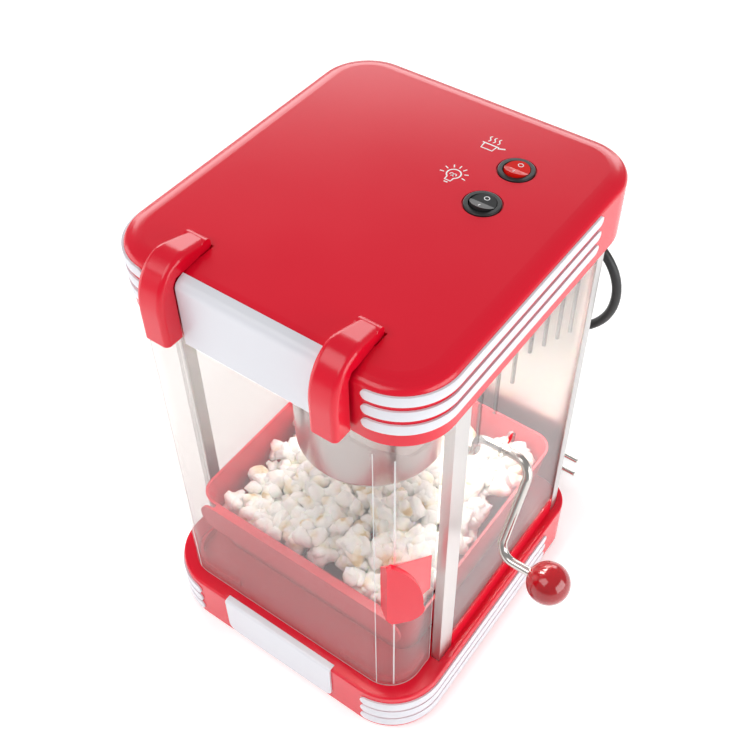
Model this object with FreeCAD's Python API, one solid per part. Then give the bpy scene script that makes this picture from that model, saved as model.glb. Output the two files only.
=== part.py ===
import FreeCAD, Part
import math
import os

# Table-top popcorn maker. Millimetres. +Z is up, +X is to the right seen from the
# front, and the front faces -Y. The origin is on the table under the cabinet's centre.

V = FreeCAD.Vector

# ---- Driving dimensions: top housing ----
housing_width = 230.0
housing_depth = 257.5
housing_corner = 36.5
roof_height = 377.5
roof_edge_inset = 9.0
roof_edge_drop = 3.5
roof_crease_radius = 5.0
roof_blend_radius = 18.0
housing_bottom = 330.5
housing_wall = 2.5

# ---- Base ----
base_side_step = 5.0
base_front_step = 13.0
base_rear_step = 3.0
base_corner = 42.5
base_rear_corner = 27.0
base_height = 46.5
base_wall = 2.5
deck_thickness = 3.5
skirt_bottom = 1.5
base_edge_radius = 1.8
cover_thickness = 2.0

# ---- White ribs on the corners ----
rib_proud = 1.3
rib_sink = 1.0
housing_rib_height = 7.4
housing_rib_levels = [345.1, 356.5, 367.9]
housing_rib_front = 78.0
housing_rib_rear = 68.0
base_rib_height = 9.7
base_rib_levels = [10.6, 22.4, 34.2]
base_rib_front = 79.0
base_rib_rear = 62.0

# ---- Steel frame, windows and back ----
steel_inset = 1.8
steel_thickness = 0.8
post_setback = 40.25
post_width = 7.0
post_depth = 16.5
back_setback = 22.75
back_return = 27.0
back_corner = 22.0
seat_depth = 1.5
seat_gap = 0.2
window_thickness = 2.0
window_gap = 0.8
slot_count = 7
slot_pitch = 19.4
slot_width = 2.2
slot_top = 322.0
slot_low_middle = 305.0
slot_step = 10.2
crank_hole_radius = 9.8
rail_height = 17.0
rail_thickness = 1.5
rim_height = 7.0
rim_thickness = 2.5
rim_gap_half = 50.0

# ---- Top frame and ceiling plate ----
frame_width = 23.0
frame_depth = 61.5
frame_centre = -8.0
plate_inset = 13.0
plate_depth = 43.5

# ---- Door ----
door_inset = 9.25
door_corner = 26.0
door_thickness = 2.5
door_proud = 2.25
door_post_gap = 2.0
door_bottom = 47.1
door_top = 324.0
door_return_top = 318.0
door_tab_top = 352.0
door_tab_half = 7.5

# ---- Door arms and hinge ----
arm_inner = 52.0
arm_width = 19.5
arm_depth = 13.0
arm_bottom = 333.5
arm_bend_height = 356.0
arm_bend_setback = 12.75
arm_rise = 11.0
arm_tip_setback = 34.15
arm_taper_setback = 6.75
arm_taper = 2.8
arm_edge_radius = 3.6
hinge_radius = 4.7
hinge_above_roof = 2.5
hinge_pin_radius = 1.5
hinge_pin_half = 6.2
hinge_ear_radius = 2.9
hinge_ear_width = 6.0
hinge_slot_gap = 0.4
pivot_clearance = 0.05
pocket_depth = 2.5
pocket_half = 8.7
pocket_gap = 0.5

# ---- Door handle ----
handle_angle = 49.0
handle_standoff = 11.0
handle_width = 24.0
handle_height = 68.0
handle_centre_z = 198.5
handle_thickness = 3.5
handle_stem_reach = 24.0
handle_stem_slope = 1.55
handle_stem_fall = 0.42

# ---- White front inserts ----
insert_arm_gap = 0.6
insert_thickness = 1.6
housing_insert_bottom = 327.5
housing_insert_lap = 6.5
base_insert_bottom = 5.5
base_insert_lap = 4.5
base_insert_corner = 8.0

# ---- Kettle ----
kettle_radius = 57.0
kettle_centre_y = -15.0
kettle_bottom = 170.5
kettle_joint = 188.0
kettle_rim = 248.5
kettle_wall = 1.2
tilt_height = 223.5
hanger_side_gap = 9.0
hanger_thickness = 2.0
hanger_width = 22.0
trunnion_radius = 4.0
bush_radius = 6.5
lever_thickness = 2.5
lever_drop = 22.0
stirrer_radius = 3.0
heater_inset = 11.0
heater_band = 18.0
stirrer_reach_gap = 7.0

# ---- Lids ----
lid_thickness = 1.5
lid_pin_radius = 1.5
lid_knuckle_radius = 3.0
lid_pin_offset = 9.5
lid_gap = 0.3

# ---- Tilt crank ----
rod_radius = 3.25
crank_side_step = 17.8
crank_jog = 15.5
crank_arm = 72.5
crank_angle = 28.4
crank_grip_length = 39.5
knob_radius = 15.0
crank_bend = 12.0

# ---- Tray ----
tray_side_gap = 9.1
tray_front_gap = 22.5
tray_rear_gap = 10.0
tray_rim = 112.0
tray_wall = 2.0
tray_corner = 16.0
tray_draft = 9.0
tray_rest = 0.3
tray_lip_inset = 6.5
tray_lip_height = 27.0
tray_lip_standoff = 5.0

# ---- Switches ----
switch_x = 54.0
switch_rows = {"popping": 68.0, "light": 28.0}
bezel_radius = 11.9
bezel_flange = 2.0
barrel_radius = 9.9
barrel_depth = 19.0
rocker_radius = 8.3
rocker_hole_radius = 9.0
rocker_tilt = 8.0
switch_recess = 1.2
switch_recess_radius = 12.8

# ---- Power cord ----
cord_radius = 3.4
coil_centre = V(-28.0, 207.0, 0.0)
coil_radius = 38.5
coil_turn_gap = 6.9
plug_face = V(84.0, 151.5, 18.5)
plug_height = 36.0
plug_width = 15.0
plug_length = 33.0
pin_radius = 2.0
pin_root_radius = 1.6
pin_spacing = 19.0
pin_length = 19.0
relief_start = V(16.0, 118.5, 313.0)
relief_length = 26.0

# Points of the lead from the strain relief to the coil, chosen by eye.
lead_points = [
    V(42.0, 118.5, 313.0),
    V(84.0, 118.5, 313.0),
    V(116.3, 118.5, 284.0),
    V(116.3, 119.5, 241.0),
    V(86.0, 121.0, 210.0),
    V(44.0, 123.0, 206.0),
    V(15.0, 126.0, 178.0),
    V(13.0, 130.0, 138.0),
    V(14.0, 137.0, 101.0),
    V(14.0, 143.5, 65.0),
    V(14.0, 150.5, 31.0),
    V(14.0, 172.5, 3.6),
    V(14.0, 207.0, 3.6),
]

# Points of the tail from the coil to the plug.
tail_points = [
    V(-28.0, 165.0, 10.4),
    V(-9.0, 164.6, 10.4),
    V(9.0, 154.0, 11.2),
    V(30.0, 151.5, 17.0),
    V(46.0, 151.5, 18.5),
]

# ---- Fasteners and small parts ----
screw_radius = 1.6
screw_head_radius = 3.0
screw_head_height = 1.6
foot_radius = 9.0
foot_inset = 32.0

# ---- Worked out from the dimensions above ----
half_width = housing_width / 2.0
half_depth = housing_depth / 2.0
post_front = post_setback - half_depth
back_face = half_depth - back_setback
base_width = housing_width + 2.0 * base_side_step
base_front = half_depth + base_front_step
base_rear = back_face + base_rear_step
door_return_end = post_front - door_post_gap
arm_bend_end = arm_bend_setback - half_depth
arm_tip_y = arm_tip_setback - half_depth
arm_taper_start = arm_taper_setback - half_depth
insert_half = arm_inner - insert_arm_gap
hanger_inner = kettle_radius + hanger_side_gap
heater_radius = kettle_radius - heater_inset
crease_height = roof_height - roof_edge_drop
steel_x = half_width - steel_inset
window_outer = steel_x - steel_thickness - window_gap
crank_reach = steel_x + crank_side_step
crank_grip = crank_reach + crank_grip_length
steel_top = housing_bottom + seat_depth
frame_top = housing_bottom + 3.5
door_front = -half_depth - door_proud
door_half_width = half_width - door_inset
door_back = door_front + door_thickness
hinge_y = arm_tip_y - hinge_radius
hinge_z = roof_height + hinge_above_roof
arm_centre = arm_inner + arm_width / 2.0
tray_half_width = window_outer - window_thickness - tray_side_gap
tray_front = door_front + tray_front_gap
tray_rear = back_face - tray_rear_gap
tray_lip_half = tray_half_width - tray_lip_inset
floor_seat = base_height + tray_rest
steel_low = base_height - seat_depth


def plan_wire(width, depth, corner, z, centre_y=0.0):
    """Closed outline of a rounded rectangle at height z."""
    x = width / 2.0
    y = depth / 2.0
    k = corner * (1.0 - math.cos(math.pi / 4.0))
    r = corner

    def at(px, py):
        return V(px, py + centre_y, z)

    corners = [(1, -1), (1, 1), (-1, 1), (-1, -1)]
    edges = []
    starts = {
        (1, -1): (at(x - r, -y), at(x - k, -y + k), at(x, -y + r)),
        (1, 1): (at(x, y - r), at(x - k, y - k), at(x - r, y)),
        (-1, 1): (at(-x + r, y), at(-x + k, y - k), at(-x, y - r)),
        (-1, -1): (at(-x, -y + r), at(-x + k, -y + k), at(-x + r, -y)),
    }
    for i in range(4):
        a, m, b = starts[corners[i]]
        nxt = starts[corners[(i + 1) % 4]][0]
        edges.append(Part.Arc(a, m, b).toShape())
        edges.append(Part.LineSegment(b, nxt).toShape())
    return Part.Wire(edges)


def plan_prism(width, depth, corner, z0, z1, centre_y=0.0):
    """Upright prism over a rounded rectangle."""
    face = Part.Face(plan_wire(width, depth, corner, z0, centre_y))
    return face.extrude(V(0, 0, z1 - z0))


def plan_ring(width, depth, corner, inside, outside, z0, z1, centre_y=0.0):
    """Wall between two outlines that are offset by inside and outside."""
    outer = plan_prism(width + 2 * outside, depth + 2 * outside, corner + outside, z0, z1, centre_y)
    inner = plan_prism(width + 2 * inside, depth + 2 * inside, corner + inside,
                       z0 - 1, z1 + 1, centre_y)
    return outer.cut(inner)


def block(x0, x1, y0, y1, z0, z1):
    """Box from its lowest and highest coordinates."""
    return Part.makeBox(x1 - x0, y1 - y0, z1 - z0, V(x0, y0, z0))


def cylinder_z(radius, x, y, z0, z1):
    """Upright cylinder."""
    return Part.makeCylinder(radius, z1 - z0, V(x, y, z0))


def cylinder_x(radius, x0, x1, y, z):
    """Cylinder along X."""
    return Part.makeCylinder(radius, x1 - x0, V(x0, y, z), V(1, 0, 0))


def cylinder_y(radius, x, y0, y1, z):
    """Cylinder along Y."""
    return Part.makeCylinder(radius, y1 - y0, V(x, y0, z), V(0, 1, 0))


def profile_x(points, x0, x1):
    """Prism along X over a closed polygon of (y, z) points."""
    wire = Part.makePolygon([V(x0, y, z) for y, z in points + points[:1]])
    return Part.Face(wire).extrude(V(x1 - x0, 0, 0))


def mirror_x(shape):
    """Copy of a shape on the other side of the YZ plane."""
    return shape.mirror(V(0, 0, 0), V(1, 0, 0))


def both_sides(shape):
    """A shape and its mirror image."""
    return [shape, mirror_x(shape)]


def fuse_all(shapes):
    """One solid from shapes that touch."""
    result = shapes[0]
    for other in shapes[1:]:
        result = result.fuse(other)
    return result.removeSplitter()


def cut_all(shape, tools):
    """Shape with every tool removed."""
    for tool in tools:
        shape = shape.cut(tool)
    return shape


def path_wire(points, radii):
    """Straight runs joined by tangent arcs. radii holds one radius for each inner point."""
    edges = []
    start = points[0]
    for i in range(1, len(points) - 1):
        corner = points[i]
        before = (points[i - 1] - corner).normalize()
        after = (points[i + 1] - corner).normalize()
        half_turn = (math.pi - before.getAngle(after)) / 2.0
        setback = radii[i - 1] * math.tan(half_turn)
        bisector = (before + after).normalize()
        centre = corner + bisector * (radii[i - 1] / math.cos(half_turn))
        entry = corner + before * setback
        leave = corner + after * setback
        middle = centre - bisector * radii[i - 1]
        edges.append(Part.LineSegment(start, entry).toShape())
        edges.append(Part.Arc(entry, middle, leave).toShape())
        start = leave
    edges.append(Part.LineSegment(start, points[-1]).toShape())
    return Part.Wire(edges)


def tube(points, radii, radius):
    """Round bar swept along straight runs and tangent arcs."""
    spine = path_wire(points, radii)
    direction = points[1] - points[0]
    circle = Part.Wire([Part.Circle(points[0], direction, radius).toShape()])
    return spine.makePipeShell([circle], True, False)


def cord_radii(points):
    """Largest arc that both runs allow at each inner point of a cord."""
    radii = []
    for i in range(1, len(points) - 1):
        before = points[i] - points[i - 1]
        after = points[i + 1] - points[i]
        shorter = min(before.Length, after.Length)
        turn = before.getAngle(after)
        radii.append(0.45 * shorter / math.tan(turn / 2.0))
    return radii


def screws_down(places, top, length):
    """Pan-head screws with their heads on top, at (x, y) places."""
    screws = []
    for x, y in places:
        head = cylinder_z(screw_head_radius, x, y, top, top + screw_head_height)
        shank = cylinder_z(screw_radius, x, y, top - length, top)
        screws.append(head.fuse(shank).removeSplitter())
    return screws


def export(node, solids):
    """Write one node's solids to its STEP file."""
    shape = solids[0] if len(solids) == 1 else Part.makeCompound(solids)
    if not shape.isValid():
        print("not valid:", node)
    shape.exportStep("parts/" + node + ".step")


# ---------------------------------------------------------------- ribs and inserts

def corner_ribs(width, depth, corner, levels, height, front, rear):
    """Right-hand ribs that wrap the front corner, with rounded ends."""
    ribs = []
    for level in levels:
        ring = plan_ring(width, depth, corner, -rib_sink, rib_proud,
                         level - height / 2.0, level + height / 2.0)
        far = width
        round_end = height / 2.0
        region = fuse_all([
            block(front + round_end, far, -far, rear - round_end, level - height, level + height),
            cylinder_y(round_end, front + round_end, -far, 0, level),
            cylinder_x(round_end, 0, far, rear - round_end, level),
        ])
        inside = block(0, width / 2.0 - corner, -depth / 2.0 + corner, depth, level - height, level + height)
        ribs.append(ring.common(region).cut(inside))
    return ribs


def housing_insert():
    """White front panel of the housing, rolled over the roof's edge."""
    outer = roof_shell(-insert_thickness, housing_insert_bottom, roof_height + insert_thickness)
    outer = soften(outer, crease_height + insert_thickness, roof_crease_radius + insert_thickness)
    inner = roof_shell(0.0, housing_insert_bottom - 1, roof_height)
    inner = soften(inner, crease_height, roof_crease_radius)
    keep = block(-insert_half, insert_half, -half_depth - insert_thickness - 1,
                 -half_depth + housing_insert_lap, housing_insert_bottom - 1, roof_height + 2)
    panel = outer.cut(inner).common(keep)
    return panel


def base_insert():
    """White front panel of the base, lapped over its top edge."""
    face = -base_front
    outer = face - insert_thickness
    lap = face + base_insert_lap
    top = base_height + insert_thickness * 0.7
    points = [
        (outer, base_insert_bottom),
        (outer, base_height - 1.0),
        (outer + 0.6, base_height + 0.4),
        (outer + 1.8, top),
        (lap, top),
        (lap, base_height),
        (face, base_height),
        (face, base_insert_bottom),
    ]
    panel = profile_x(points, -insert_half, insert_half)
    lower = [e for e in panel.Edges
             if abs(e.CenterOfMass.z - base_insert_bottom) < 0.1
             and abs(abs(e.CenterOfMass.x) - insert_half) < 0.1]
    return panel.makeFillet(base_insert_corner, lower)


# ---------------------------------------------------------------- base

def base_prism(offset, z0, z1):
    """Upright prism over the base's outline, moved outwards by offset."""
    width = base_width + 2 * offset
    far = 2 * base_front
    front = plan_prism(width, 2 * (base_front + offset), base_corner + offset, z0, z1)
    rear = plan_prism(width, 2 * (base_rear + offset), base_rear_corner + offset, z0, z1)
    return fuse_all([front.common(block(-far, far, -far, 0, z0 - 1, z1 + 1)),
                     rear.common(block(-far, far, 0, far, z0 - 1, z1 + 1))])


def window_rails():
    """Outer and inner rails that hold the foot of the right window."""
    front = post_front + post_depth + 0.3
    rear = back_face - back_return - 0.3
    outer_face = window_outer + 0.1
    inner_face = window_outer - window_thickness - 0.1
    outer = block(outer_face, outer_face + rail_thickness, front, rear,
                  base_height, base_height + rail_height)
    inner = block(inner_face - rail_thickness, inner_face, front, rear,
                  base_height, base_height + rail_height / 2.0)
    return [outer, inner]


def door_rim():
    """Two halves of the low rim behind the door, open in the middle for the tray."""
    offset = door_thickness + 0.9
    width = 2 * (door_half_width - offset)
    front = door_front + offset
    depth = 2 * (door_return_end - 2.0 - front)
    ring = plan_ring(width, depth, door_corner - offset, -rim_thickness, 0,
                     base_height, base_height + rim_height, front + depth / 2.0)
    right = ring.common(block(rim_gap_half, width, front - 1, front + depth / 2.0,
                              0, base_height * 2))
    return both_sides(right)


def screw_places(inset_x, inset_y, width, depth):
    """Four places near the corners of a rectangle."""
    x = width / 2.0 - inset_x
    y = depth / 2.0 - inset_y
    return [(-x, -y), (x, -y), (-x, y), (x, y)]


def base_places(inset_y):
    """Four places near the base's corners."""
    x = base_width / 2.0 - foot_inset
    return [(-x, inset_y - base_front), (x, inset_y - base_front),
            (-x, base_rear - inset_y), (x, base_rear - inset_y)]


def frame_seats(z0, z1):
    """Grooves for the ends of the posts, the windows and the back panel."""
    grow = seat_gap
    inner = steel_x - steel_thickness
    pane = window(False).BoundBox
    right = [
        block(steel_x - post_width - grow, steel_x + grow, post_front - grow,
              post_front + steel_thickness + grow, z0, z1),
        block(inner - grow, steel_x + grow, post_front - grow,
              post_front + post_depth + grow, z0, z1),
        block(pane.XMin - grow, pane.XMax + grow, pane.YMin - grow, pane.YMax + grow, z0, z1),
    ]
    back = back_outline(-grow, z0, z1).cut(back_outline(steel_thickness + grow, z0 - 1, z1 + 1))
    return right_and_left(right) + [back]


def base():
    """Base moulding: skirt, flat deck and bosses."""
    outer = base_prism(0.0, skirt_bottom, base_height)
    outer = soften(outer, base_height, base_edge_radius)
    hollow = base_prism(-base_wall, skirt_bottom - 1, base_height - deck_thickness)
    body = outer.cut(hollow)
    bosses = [cylinder_z(4.5, x, y, skirt_bottom + cover_thickness + 0.5, base_height - 1)
              for x, y in base_places(foot_inset + 14)]
    body = fuse_all([body] + bosses)
    grooves = right_and_left(base_ribs())
    holes = [cylinder_z(screw_radius, x, y, skirt_bottom, base_height - 6)
             for x, y in base_places(foot_inset + 14)]
    seats = frame_seats(steel_low, base_height + 1)
    return cut_all(body, grooves + holes + seats + [base_cover_blank()])


def base_cover_blank():
    """Solid outline of the base's bottom cover."""
    return base_prism(-base_wall - 0.2, skirt_bottom + 0.5, skirt_bottom + 0.5 + cover_thickness)


def base_cover():
    """Bottom cover with vent slots and screw holes."""
    cover = base_cover_blank()
    vents = []
    for i in range(9):
        x = -42 + 10 * i
        vents.append(block(x, x + 4, -80, -35, 0, 10))
        vents.append(block(x, x + 4, 20, 65, 0, 10))
    holes = [cylinder_z(screw_radius, x, y, 0, 10) for x, y in base_places(foot_inset + 14)]
    return cut_all(cover, vents + holes)


def feet():
    """Rubber feet under the cover: one near each corner and one in the middle."""
    pads = []
    top = skirt_bottom + 0.5
    for x, y in base_places(foot_inset) + [(0, 0)]:
        pads.append(Part.makeCone(foot_radius - 1.0, foot_radius, top, V(x, y, 0)))
    return pads


def base_ribs():
    """Right-hand ribs of the base."""
    return corner_ribs(base_width, 2 * base_front, base_corner, base_rib_levels,
                       base_rib_height, base_rib_front, base_rib_rear)


def housing_ribs():
    """Right-hand ribs of the housing."""
    return corner_ribs(housing_width, housing_depth, housing_corner, housing_rib_levels,
                       housing_rib_height, housing_rib_front, housing_rib_rear)


def right_and_left(shapes):
    """Shapes followed by their mirror images."""
    return shapes + [mirror_x(s) for s in shapes]


# ---------------------------------------------------------------- steel frame and windows

def front_post():
    """Right front post: a folded stainless angle with a stiffening lip."""
    inner = steel_x - steel_thickness
    front = block(steel_x - post_width, steel_x, post_front, post_front + steel_thickness,
                  steel_low, steel_top)
    side = block(inner, steel_x, post_front, post_front + post_depth, steel_low, steel_top)
    return front.fuse(side).removeSplitter()


def back_outline(offset, z0, z1):
    """Solid bounded by the back panel's outer face moved inwards by offset."""
    width = 2 * (steel_x - offset)
    rear = back_face - offset
    depth = 2 * rear
    full = plan_prism(width, depth, max(back_corner - offset, 1.0), z0, z1)
    keep = block(-width, width, back_face - back_return, rear + 1, z0 - 1, z1 + 1)
    return full.common(keep)


def back_panel():
    """Stainless back, folded round both rear corners."""
    outer = back_outline(0.0, steel_low, steel_top)
    inner = back_outline(steel_thickness, steel_low - 1, steel_top + 1)
    panel = outer.cut(inner)
    hole = cylinder_y(4.1, relief_start.x, back_face - 5, back_face + 5, relief_start.z)
    return panel.cut(hole)


def window(with_crank_hole):
    """Right-hand clear window with its fan of vent slots."""
    inner = window_outer - window_thickness
    front = post_front + 2.0
    rear = back_face - back_corner - 0.5
    pane = block(inner, window_outer, front, rear, steel_low, steel_top)
    cutters = []
    middle = (slot_count - 1) / 2.0
    for i in range(slot_count):
        y = 1.0 + (i - middle) * slot_pitch
        low = slot_low_middle - slot_step * abs(i - middle)
        cutters.append(block(inner - 1, window_outer + 1, y - slot_width / 2.0,
                             y + slot_width / 2.0, low, slot_top))
    if with_crank_hole:
        height = tilt_height - rod_radius + crank_hole_radius - 0.35
        cutters.append(cylinder_x(crank_hole_radius, inner - 1, window_outer + 1,
                                  kettle_centre_y, height))
    return cut_all(pane, cutters)


# ---------------------------------------------------------------- top housing

def roof_shell(inset, bottom, top):
    """Housing outline moved inwards by inset, up to the height top."""
    lower = plan_prism(housing_width - 2 * inset, housing_depth - 2 * inset,
                       housing_corner - inset, bottom, top - roof_edge_drop)
    far = inset + roof_edge_inset
    wires = [
        plan_wire(housing_width - 2 * inset, housing_depth - 2 * inset,
                  housing_corner - inset, top - roof_edge_drop),
        plan_wire(housing_width - 2 * far, housing_depth - 2 * far, housing_corner - far, top),
    ]
    return fuse_all([lower, Part.makeLoft(wires, True, True)])


def hinge_ear():
    """Right ear that stands up from the roof and carries the door's hinge pin."""
    x0 = arm_centre - hinge_ear_width / 2.0
    x1 = arm_centre + hinge_ear_width / 2.0
    foot = roof_height - pocket_depth - 0.5
    neck = block(x0, x1, hinge_y - hinge_ear_radius, hinge_y + hinge_ear_radius, foot, hinge_z)
    disc = cylinder_x(hinge_ear_radius, x0, x1, hinge_y, hinge_z)
    bore = cylinder_x(hinge_pin_radius + pivot_clearance, x0 - 1, x1 + 1, hinge_y, hinge_z)
    return neck.fuse(disc).cut(bore)


def hinge_pocket():
    """Shallow roof pocket under the right arm's tip."""
    return block(arm_centre - pocket_half, arm_centre + pocket_half,
                 hinge_y - hinge_radius - 1.4, arm_tip_y + pocket_gap,
                 roof_height - pocket_depth, roof_height + 1)


def soften(shape, height, radius):
    """Shape with every edge that lies at one height rounded."""
    edges = [e for e in shape.Edges
             if abs(e.BoundBox.ZMin - height) < 0.05 and abs(e.BoundBox.ZMax - height) < 0.05]
    return shape.makeFillet(radius, edges)


def top_housing():
    """Red upper housing, open below."""
    body = roof_shell(0.0, housing_bottom, roof_height)
    body = soften(body, roof_height, roof_blend_radius)
    body = soften(body, crease_height, roof_crease_radius)
    hollow = roof_shell(housing_wall, housing_bottom - 1, roof_height - housing_wall)
    body = body.cut(hollow)
    pad = block(arm_inner - 3, arm_inner + arm_width + 3, hinge_y - 12, arm_tip_y + 4,
                roof_height - pocket_depth - housing_wall, roof_height - 1)
    body = fuse_all([body] + both_sides(pad))
    pocket = hinge_pocket()
    tab_room = block(arm_centre - door_tab_half - 0.6, arm_centre + door_tab_half + 0.6,
                     -half_depth - 1, door_back + 0.6, housing_bottom - 1, door_tab_top + 1.0)
    cutters = both_sides(pocket) + both_sides(tab_room) + right_and_left(housing_ribs())
    for y in switch_rows.values():
        cutters.append(cylinder_z(switch_recess_radius, switch_x, y,
                                  roof_height - switch_recess, roof_height + 1))
        cutters.append(cylinder_z(barrel_radius + 0.1, switch_x, y,
                                  roof_height - 10, roof_height + 1))
    body = cut_all(body, cutters + frame_seats(housing_bottom - 1, steel_top + 0.5))
    return fuse_all([body] + both_sides(hinge_ear()))


def top_frame_screws():
    """Places of the screws that hold the ceiling plate to the top frame."""
    return screw_places(19.5, 30.0, housing_width, housing_depth - 24)


def top_frame():
    """Ring inside the housing that holds the tops of the posts, windows and back."""
    gap = housing_wall + 0.15
    ring = plan_prism(housing_width - 2 * gap, housing_depth - 2 * gap,
                      housing_corner - gap, housing_bottom, frame_top)
    opening = plan_prism(housing_width - 2 * frame_width, housing_depth - frame_depth, 14,
                         housing_bottom - 1, frame_top + 1, frame_centre)
    seats = frame_seats(housing_bottom - 1, steel_top)
    tab_room = block(arm_centre - door_tab_half - 0.6, arm_centre + door_tab_half + 0.6,
                     -half_depth - 1, door_back + 0.6, housing_bottom - 1, frame_top + 1)
    holes = [cylinder_z(screw_radius, x, y, housing_bottom + 0.5, frame_top + 1)
             for x, y in top_frame_screws()]
    return cut_all(ring, [opening] + seats + both_sides(tab_room) + holes)


def ceiling_plate():
    """Steel ceiling of the cabinet, on the top frame."""
    plate = plan_prism(housing_width - 2 * plate_inset, housing_depth - plate_depth, 18,
                       frame_top, frame_top + 1.0, frame_centre)
    holes = [cylinder_z(screw_radius + 0.2, x, y, frame_top - 1, frame_top + 2)
             for x, y in top_frame_screws()]
    lamp_hole = cylinder_z(14.0, 0, 60, frame_top - 1, frame_top + 2)
    return cut_all(plate, holes + [lamp_hole])


# ---------------------------------------------------------------- door

def door_shell():
    """Clear moulded door: flat front, rounded corners, short side returns and two tabs."""
    width = 2 * door_half_width
    depth = 2 * (door_return_end - door_front)
    centre = door_return_end
    ring = plan_ring(width, depth, door_corner, -door_thickness, 0, door_bottom, door_top, centre)
    front = ring.common(block(-width, width, door_front - 1, door_return_end, 0, roof_height))
    slope_start = door_front + door_thickness + 3.0
    slope = profile_x([
        (slope_start, door_top + 1),
        (slope_start, door_top),
        (slope_start + 8.0, door_return_top),
        (door_return_end + 1, door_return_top),
        (door_return_end + 1, door_top + 1),
    ], -width, width)
    shell = front.cut(slope)
    tab = block(arm_centre - door_tab_half, arm_centre + door_tab_half, door_front,
                door_back, door_top - 4, door_tab_top)
    rib = block(door_half_width - door_corner * 0.293 - 4.0, door_half_width - door_corner * 0.293 - 1.5,
                door_back - 0.3, door_back + 6.0, door_bottom + 2, door_return_top - 1)
    corner_rib = rib.common(plan_prism(width - door_thickness, depth - door_thickness, door_corner,
                                       door_bottom, door_top, centre))
    body = fuse_all([shell] + both_sides(tab) + both_sides(corner_rib))
    holes = [cylinder_y(screw_radius, x, door_front - 1, door_back + 1, z)
             for x in (arm_centre, -arm_centre) for z in tab_screw_levels()]
    return cut_all(body, holes)


def arm_outside():
    """Edges of a door arm's outer side, from its foot to its tip."""
    front = door_front - arm_depth
    tip = V(0, hinge_y, hinge_z + hinge_radius)
    foot = V(0, front, arm_bottom)
    bend_start = V(0, front, arm_bend_height)
    bend_end = V(0, arm_bend_end, roof_height + arm_rise)
    before_end = bend_end + (bend_end - tip).normalize() * 13.0
    bend = Part.BezierCurve()
    bend.setPoles([bend_start, bend_start + V(0, 0, 24.0), before_end, bend_end])
    return [
        Part.LineSegment(foot, bend_start).toShape(),
        bend.toShape(),
        Part.LineSegment(bend_end, tip).toShape(),
    ]


def arm_profile():
    """Side outline of a door arm as a closed wire at x = 0."""
    back = door_front
    under = roof_height + 0.3
    low = V(0, hinge_y, hinge_z - hinge_radius)
    bottom = V(0, back, arm_bottom)
    edges = arm_outside() + [
        Part.Arc(V(0, hinge_y, hinge_z + hinge_radius), V(0, hinge_y + hinge_radius, hinge_z),
                 low).toShape(),
        Part.LineSegment(low, V(0, hinge_y - 5.5, under)).toShape(),
        Part.LineSegment(V(0, hinge_y - 5.5, under), V(0, -half_depth + 1.0, under)).toShape(),
        Part.LineSegment(V(0, -half_depth + 1.0, under), V(0, back, crease_height - 1.0)).toShape(),
        Part.LineSegment(V(0, back, crease_height - 1.0), bottom).toShape(),
        Part.LineSegment(bottom, V(0, back - arm_depth, arm_bottom)).toShape(),
    ]
    return Part.Wire(edges)


def arm_plan():
    """Plan of the right arm, narrower towards its tip."""
    x0 = arm_inner
    x1 = arm_inner + arm_width
    front = door_front - arm_depth - 1
    tip = arm_tip_y + 1
    points = [(x0, front), (x1, front), (x1, arm_taper_start),
              (x1 - arm_taper, tip), (x0 + arm_taper, tip), (x0, arm_taper_start)]
    wire = Part.makePolygon([V(x, y, 0) for x, y in points + points[:1]])
    return Part.Face(wire).extrude(V(0, 0, 2 * roof_height))


def round_arm(body):
    """Arm with the long edges of its outer side rounded."""
    outside = Part.Wire(arm_outside())
    chosen = []
    for edge in body.Edges:
        first, last = edge.ParameterRange
        middle = edge.valueAt((first + last) / 2.0)
        along = edge.tangentAt((first + last) / 2.0)
        point = Part.Vertex(V(0, middle.y, middle.z))
        if abs(along.x) < 0.9 and outside.distToShape(point)[0] < 0.02:
            chosen.append(edge)
    return body.makeFillet(arm_edge_radius, chosen)


def door_arm():
    """Right arm: down the front of the housing and over its roof to the hinge."""
    wire = arm_profile()
    wire.translate(V(arm_inner, 0, 0))
    body = Part.Face(wire).extrude(V(arm_width, 0, 0))
    body = round_arm(body.common(arm_plan()))
    slot_half = hinge_ear_width / 2.0 + hinge_slot_gap
    slot_radius = hinge_ear_radius + hinge_slot_gap
    slot = block(arm_centre - slot_half, arm_centre + slot_half, hinge_y - slot_radius,
                 hinge_y + hinge_radius + 1, hinge_z - hinge_radius - 1, hinge_z + slot_radius)
    screw_holes = [cylinder_y(screw_radius, arm_centre, door_front - 7, door_front + 1, z)
                   for z in tab_screw_levels()]
    return cut_all(body, [slot, hinge_pin()] + screw_holes)


def tab_screw_levels():
    """Heights of the two screws that join each arm to its door tab."""
    return [door_tab_top - 6.0, door_tab_top - 12.0]


def door_screws():
    """Screws through the door's tabs into the arms, heads inside."""
    screws = []
    for x in (arm_centre, -arm_centre):
        for z in tab_screw_levels():
            screws.append(cylinder_y(screw_radius, x, door_front - 6.5, door_back - 0.2, z))
    return screws


def hinge_pin():
    """Right hinge pin, held in the arm and turning in the ear."""
    return cylinder_x(hinge_pin_radius, arm_centre - hinge_pin_half, arm_centre + hinge_pin_half,
                      hinge_y, hinge_z)


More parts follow.
